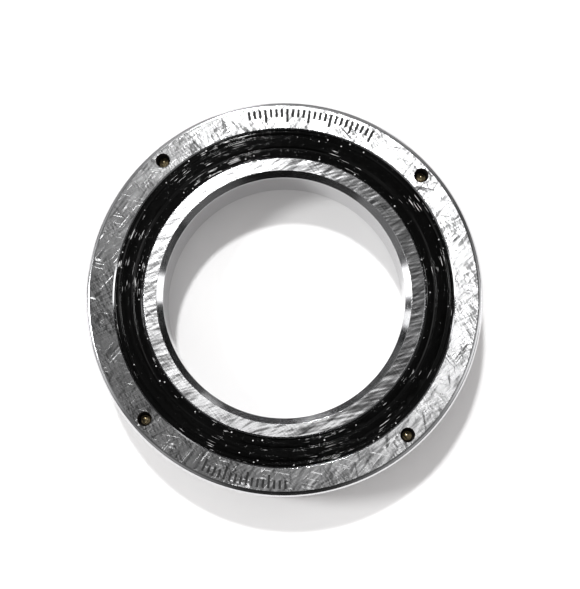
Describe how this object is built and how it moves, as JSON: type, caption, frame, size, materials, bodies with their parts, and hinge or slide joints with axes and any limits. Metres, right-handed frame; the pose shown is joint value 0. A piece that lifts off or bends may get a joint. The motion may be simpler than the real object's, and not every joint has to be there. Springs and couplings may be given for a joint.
{
  "type": "crossed roller bearing",
  "caption": "Slim sealed ring bearing: a split, riveted outer ring and a one-piece inner ring turn on crossed cylindrical rollers, with a rubber seal on each side.",
  "frame": {"origin": "centre of the bearing, on its axis and on the parting plane of the outer ring", "axes": "+Z along the bearing's axis, out of the face shown uppermost; +X and +Y across it, with the first rivet 41.5 degrees from +X towards +Y"},
  "size_m": [0.041, 0.041, 0.008],
  "materials": {
    "ring_steel": "ground",
    "roller_steel": "superfinished",
    "seal_rubber": "smooth, oiled",
    "rivet_brass": "satin",
    "spacer_resin": "moulded"
  },
  "bodies": {
    "outer_ring": {"outer_ring_upper": "ring_steel", "outer_ring_lower": "ring_steel", "seal_upper": "seal_rubber", "seal_lower": "seal_rubber", "rivet_1": "rivet_brass", "rivet_2": "rivet_brass", "rivet_3": "rivet_brass", "rivet_4": "rivet_brass"},
    "inner_ring": {"inner_ring": "ring_steel"},
    "spacer_train": {"spacer_01": "spacer_resin", "spacer_02": "spacer_resin", "spacer_03": "spacer_resin", "spacer_04": "spacer_resin", "spacer_05": "spacer_resin", "spacer_06": "spacer_resin", "spacer_07": "spacer_resin", "spacer_08": "spacer_resin", "spacer_09": "spacer_resin", "spacer_10": "spacer_resin", "spacer_11": "spacer_resin", "spacer_12": "spacer_resin", "spacer_13": "spacer_resin", "spacer_14": "spacer_resin", "spacer_15": "spacer_resin", "spacer_16": "spacer_resin", "spacer_17": "spacer_resin", "spacer_18": "spacer_resin", "spacer_19": "spacer_resin", "spacer_20": "spacer_resin", "spacer_21": "spacer_resin", "spacer_22": "spacer_resin", "spacer_23": "spacer_resin", "spacer_24": "spacer_resin"},
    "roller_01": {"roller_01": "roller_steel"},
    "roller_02": {"roller_02": "roller_steel"},
    "roller_03": {"roller_03": "roller_steel"},
    "roller_04": {"roller_04": "roller_steel"},
    "roller_05": {"roller_05": "roller_steel"},
    "roller_06": {"roller_06": "roller_steel"},
    "roller_07": {"roller_07": "roller_steel"},
    "roller_08": {"roller_08": "roller_steel"},
    "roller_09": {"roller_09": "roller_steel"},
    "roller_10": {"roller_10": "roller_steel"},
    "roller_11": {"roller_11": "roller_steel"},
    "roller_12": {"roller_12": "roller_steel"},
    "roller_13": {"roller_13": "roller_steel"},
    "roller_14": {"roller_14": "roller_steel"},
    "roller_15": {"roller_15": "roller_steel"},
    "roller_16": {"roller_16": "roller_steel"},
    "roller_17": {"roller_17": "roller_steel"},
    "roller_18": {"roller_18": "roller_steel"},
    "roller_19": {"roller_19": "roller_steel"},
    "roller_20": {"roller_20": "roller_steel"},
    "roller_21": {"roller_21": "roller_steel"},
    "roller_22": {"roller_22": "roller_steel"},
    "roller_23": {"roller_23": "roller_steel"},
    "roller_24": {"roller_24": "roller_steel"}
  },
  "joints": [
    {"name": "inner_spin", "type": "hinge", "parent": "outer_ring", "child": "inner_ring", "pos_m": [0, 0, 0], "axis": [0, 0, 1], "continuous": true},
    {"name": "train_orbit", "type": "hinge", "parent": "outer_ring", "child": "spacer_train", "pos_m": [0, 0, 0], "axis": [0, 0, 1], "continuous": true},
    {"name": "roller_01_spin", "type": "hinge", "parent": "spacer_train", "child": "roller_01", "pos_m": [0.016, 0, 0], "axis": [0.7071, 0, 0.7071], "continuous": true},
    {"name": "roller_02_spin", "type": "hinge", "parent": "spacer_train", "child": "roller_02", "pos_m": [0.01545, 0.00414, 0], "axis": [-0.683, -0.183, 0.7071], "continuous": true},
    {"name": "roller_03_spin", "type": "hinge", "parent": "spacer_train", "child": "roller_03", "pos_m": [0.01386, 0.008, 0], "axis": [0.6124, 0.3536, 0.7071], "continuous": true},
    {"name": "roller_04_spin", "type": "hinge", "parent": "spacer_train", "child": "roller_04", "pos_m": [0.01131, 0.01131, 0], "axis": [-0.5, -0.5, 0.7071], "continuous": true},
    {"name": "roller_05_spin", "type": "hinge", "parent": "spacer_train", "child": "roller_05", "pos_m": [0.008, 0.01386, 0], "axis": [0.3536, 0.6124, 0.7071], "continuous": true},
    {"name": "roller_06_spin", "type": "hinge", "parent": "spacer_train", "child": "roller_06", "pos_m": [0.00414, 0.01545, 0], "axis": [-0.183, -0.683, 0.7071], "continuous": true},
    {"name": "roller_07_spin", "type": "hinge", "parent": "spacer_train", "child": "roller_07", "pos_m": [0, 0.016, 0], "axis": [0, 0.7071, 0.7071], "continuous": true},
    {"name": "roller_08_spin", "type": "hinge", "parent": "spacer_train", "child": "roller_08", "pos_m": [-0.00414, 0.01545, 0], "axis": [0.183, -0.683, 0.7071], "continuous": true},
    {"name": "roller_09_spin", "type": "hinge", "parent": "spacer_train", "child": "roller_09", "pos_m": [-0.008, 0.01386, 0], "axis": [-0.3536, 0.6124, 0.7071], "continuous": true},
    {"name": "roller_10_spin", "type": "hinge", "parent": "spacer_train", "child": "roller_10", "pos_m": [-0.01131, 0.01131, 0], "axis": [0.5, -0.5, 0.7071], "continuous": true},
    {"name": "roller_11_spin", "type": "hinge", "parent": "spacer_train", "child": "roller_11", "pos_m": [-0.01386, 0.008, 0], "axis": [-0.6124, 0.3536, 0.7071], "continuous": true},
    {"name": "roller_12_spin", "type": "hinge", "parent": "spacer_train", "child": "roller_12", "pos_m": [-0.01545, 0.00414, 0], "axis": [0.683, -0.183, 0.7071], "continuous": true},
    {"name": "roller_13_spin", "type": "hinge", "parent": "spacer_train", "child": "roller_13", "pos_m": [-0.016, 0, 0], "axis": [-0.7071, 0, 0.7071], "continuous": true},
    {"name": "roller_14_spin", "type": "hinge", "parent": "spacer_train", "child": "roller_14", "pos_m": [-0.01545, -0.00414, 0], "axis": [0.683, 0.183, 0.7071], "continuous": true},
    {"name": "roller_15_spin", "type": "hinge", "parent": "spacer_train", "child": "roller_15", "pos_m": [-0.01386, -0.008, 0], "axis": [-0.6124, -0.3536, 0.7071], "continuous": true},
    {"name": "roller_16_spin", "type": "hinge", "parent": "spacer_train", "child": "roller_16", "pos_m": [-0.01131, -0.01131, 0], "axis": [0.5, 0.5, 0.7071], "continuous": true},
    {"name": "roller_17_spin", "type": "hinge", "parent": "spacer_train", "child": "roller_17", "pos_m": [-0.008, -0.01386, 0], "axis": [-0.3536, -0.6124, 0.7071], "continuous": true},
    {"name": "roller_18_spin", "type": "hinge", "parent": "spacer_train", "child": "roller_18", "pos_m": [-0.00414, -0.01545, 0], "axis": [0.183, 0.683, 0.7071], "continuous": true},
    {"name": "roller_19_spin", "type": "hinge", "parent": "spacer_train", "child": "roller_19", "pos_m": [0, -0.016, 0], "axis": [0, -0.7071, 0.7071], "continuous": true},
    {"name": "roller_20_spin", "type": "hinge", "parent": "spacer_train", "child": "roller_20", "pos_m": [0.00414, -0.01545, 0], "axis": [-0.183, 0.683, 0.7071], "continuous": true},
    {"name": "roller_21_spin", "type": "hinge", "parent": "spacer_train", "child": "roller_21", "pos_m": [0.008, -0.01386, 0], "axis": [0.3536, -0.6124, 0.7071], "continuous": true},
    {"name": "roller_22_spin", "type": "hinge", "parent": "spacer_train", "child": "roller_22", "pos_m": [0.01131, -0.01131, 0], "axis": [-0.5, 0.5, 0.7071], "continuous": true},
    {"name": "roller_23_spin", "type": "hinge", "parent": "spacer_train", "child": "roller_23", "pos_m": [0.01386, -0.008, 0], "axis": [0.6124, -0.3536, 0.7071], "continuous": true},
    {"name": "roller_24_spin", "type": "hinge", "parent": "spacer_train", "child": "roller_24", "pos_m": [0.01545, -0.00414, 0], "axis": [-0.683, 0.183, 0.7071], "continuous": true}
  ],
  "couplings": [
    {"joint": "train_orbit", "follows": "inner_spin", "ratio": 0.46685},
    {"joint": "roller_01_spin", "follows": "inner_spin", "ratio": -5.3099},
    {"joint": "roller_02_spin", "follows": "inner_spin", "ratio": -5.3099},
    {"joint": "roller_03_spin", "follows": "inner_spin", "ratio": -5.3099},
    {"joint": "roller_04_spin", "follows": "inner_spin", "ratio": -5.3099},
    {"joint": "roller_05_spin", "follows": "inner_spin", "ratio": -5.3099},
    {"joint": "roller_06_spin", "follows": "inner_spin", "ratio": -5.3099},
    {"joint": "roller_07_spin", "follows": "inner_spin", "ratio": -5.3099},
    {"joint": "roller_08_spin", "follows": "inner_spin", "ratio": -5.3099},
    {"joint": "roller_09_spin", "follows": "inner_spin", "ratio": -5.3099},
    {"joint": "roller_10_spin", "follows": "inner_spin", "ratio": -5.3099},
    {"joint": "roller_11_spin", "follows": "inner_spin", "ratio": -5.3099},
    {"joint": "roller_12_spin", "follows": "inner_spin", "ratio": -5.3099},
    {"joint": "roller_13_spin", "follows": "inner_spin", "ratio": -5.3099},
    {"joint": "roller_14_spin", "follows": "inner_spin", "ratio": -5.3099},
    {"joint": "roller_15_spin", "follows": "inner_spin", "ratio": -5.3099},
    {"joint": "roller_16_spin", "follows": "inner_spin", "ratio": -5.3099},
    {"joint": "roller_17_spin", "follows": "inner_spin", "ratio": -5.3099},
    {"joint": "roller_18_spin", "follows": "inner_spin", "ratio": -5.3099},
    {"joint": "roller_19_spin", "follows": "inner_spin", "ratio": -5.3099},
    {"joint": "roller_20_spin", "follows": "inner_spin", "ratio": -5.3099},
    {"joint": "roller_21_spin", "follows": "inner_spin", "ratio": -5.3099},
    {"joint": "roller_22_spin", "follows": "inner_spin", "ratio": -5.3099},
    {"joint": "roller_23_spin", "follows": "inner_spin", "ratio": -5.3099},
    {"joint": "roller_24_spin", "follows": "inner_spin", "ratio": -5.3099}
  ]
}
